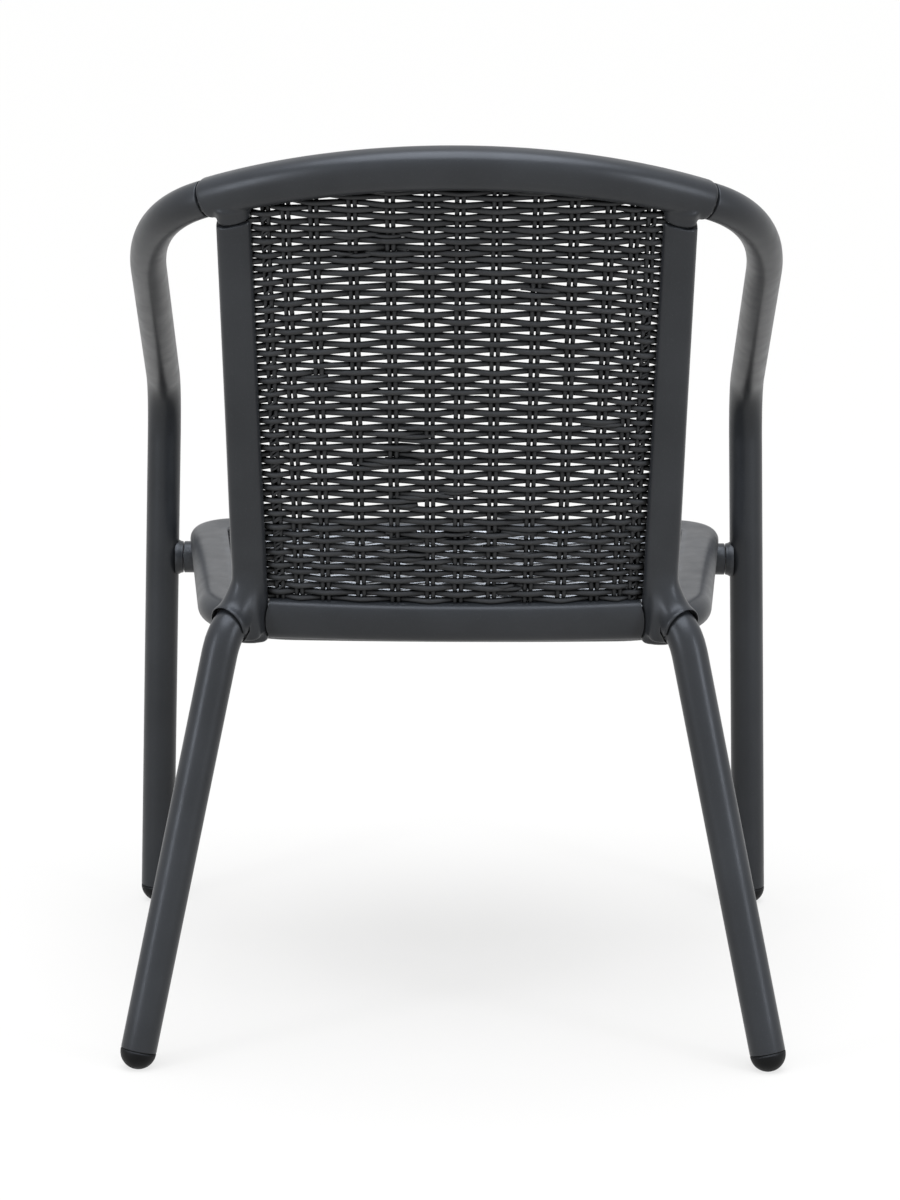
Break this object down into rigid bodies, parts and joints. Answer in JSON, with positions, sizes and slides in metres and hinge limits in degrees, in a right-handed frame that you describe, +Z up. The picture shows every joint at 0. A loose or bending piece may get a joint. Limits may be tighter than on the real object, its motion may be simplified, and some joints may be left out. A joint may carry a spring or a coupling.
{
  "type": "outdoor bistro armchair",
  "caption": "Outdoor bistro armchair with a bent tube frame in matte anthracite, a dark open-weave back and seat, and domed black foot caps.",
  "frame": {"origin": "on the floor under the middle of the chair's bounding box", "axes": "+Z up, the sitter faces -Y, and the sitter's left is +X"},
  "size_m": [0.616, 0.5786, 0.8282],
  "materials": {
    "frame_coat": "matte powder coat",
    "foot_cap_black": "matte",
    "woven_strand": "matte, finely streaked along the strand",
    "steel_hidden": "plain"
  },
  "bodies": {
    "root": {"top_rail": "frame_coat", "arm_leg_tube_left": "frame_coat", "arm_leg_tube_right": "frame_coat", "back_upright_left": "frame_coat", "back_upright_right": "frame_coat", "back_cross_rail": "frame_coat", "rear_leg_left": "frame_coat", "rear_leg_right": "frame_coat", "seat_ring": "frame_coat", "seat_support_bar_left": "frame_coat", "seat_support_bar_right": "frame_coat", "seat_support_collar_left": "frame_coat", "seat_support_collar_right": "frame_coat", "foot_cap_front_left": "foot_cap_black", "foot_cap_front_right": "foot_cap_black", "foot_cap_rear_left": "foot_cap_black", "foot_cap_rear_right": "foot_cap_black", "seat_weave": "woven_strand", "back_weave": "woven_strand", "arm_joint_spigot_left": "steel_hidden", "arm_joint_spigot_right": "steel_hidden", "seat_weave_rod": "steel_hidden", "back_weave_rod": "steel_hidden", "seat_support_bolt_left": "steel_hidden", "seat_support_bolt_right": "steel_hidden", "seat_front_screw_left": "steel_hidden", "seat_front_screw_right": "steel_hidden", "seat_rear_stud_left": "steel_hidden", "seat_rear_stud_right": "steel_hidden", "rail_screw_left": "steel_hidden", "rail_screw_right": "steel_hidden", "rear_leg_screw_left": "steel_hidden", "rear_leg_screw_right": "steel_hidden"}
  },
  "joints": []
}
